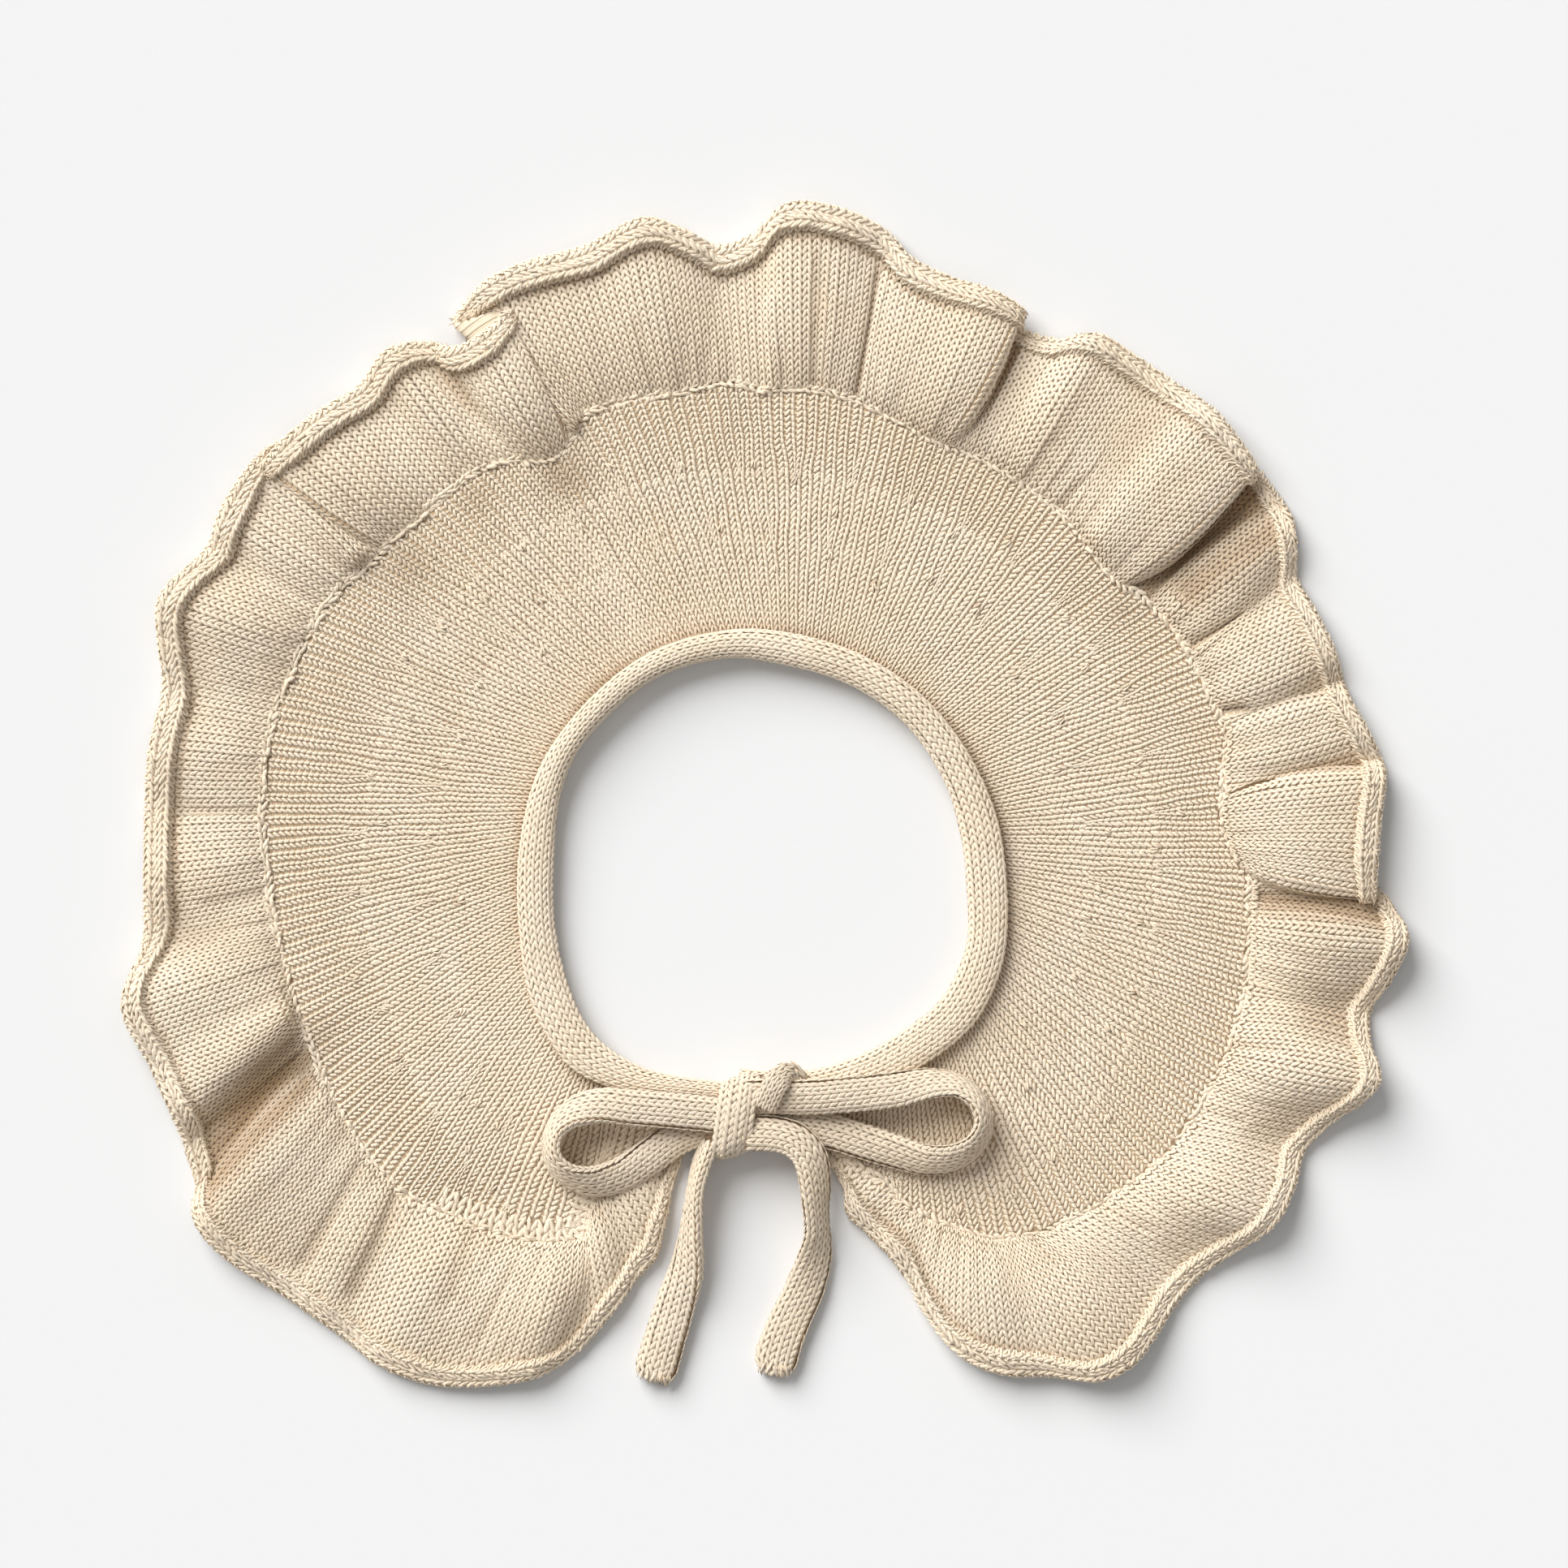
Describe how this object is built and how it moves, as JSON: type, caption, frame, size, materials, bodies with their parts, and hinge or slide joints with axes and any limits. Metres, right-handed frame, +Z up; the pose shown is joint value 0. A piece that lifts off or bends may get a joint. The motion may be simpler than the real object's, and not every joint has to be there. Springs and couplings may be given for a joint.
{
  "type": "knitted collar",
  "caption": "Flat-lying knitted collar with a gathered ruffle round its edge and tube ties knotted in a bow at the front.",
  "frame": {"origin": "on the table, under the middle of the bounding box of the yoke, ruffle and neckband", "axes": "+X to the right of the collar seen from above with its bow towards the viewer, +Y from the bow towards the back of the neck, +Z up from the table"},
  "size_m": [0.3164, 0.2919, 0.0121],
  "materials": {
    "cotton_knit": "matt cream cotton stocking stitch",
    "cotton_tube_knit": "matt cream cotton tube knit"
  },
  "bodies": {
    "root": {"yoke": "cotton_knit", "ruffle": "cotton_knit", "neckband": "cotton_tube_knit", "knot": "cotton_tube_knit", "tie_over": "cotton_tube_knit", "loop_left": "cotton_tube_knit", "loop_right": "cotton_tube_knit", "tail_left": "cotton_tube_knit", "tail_right": "cotton_tube_knit"}
  },
  "joints": []
}
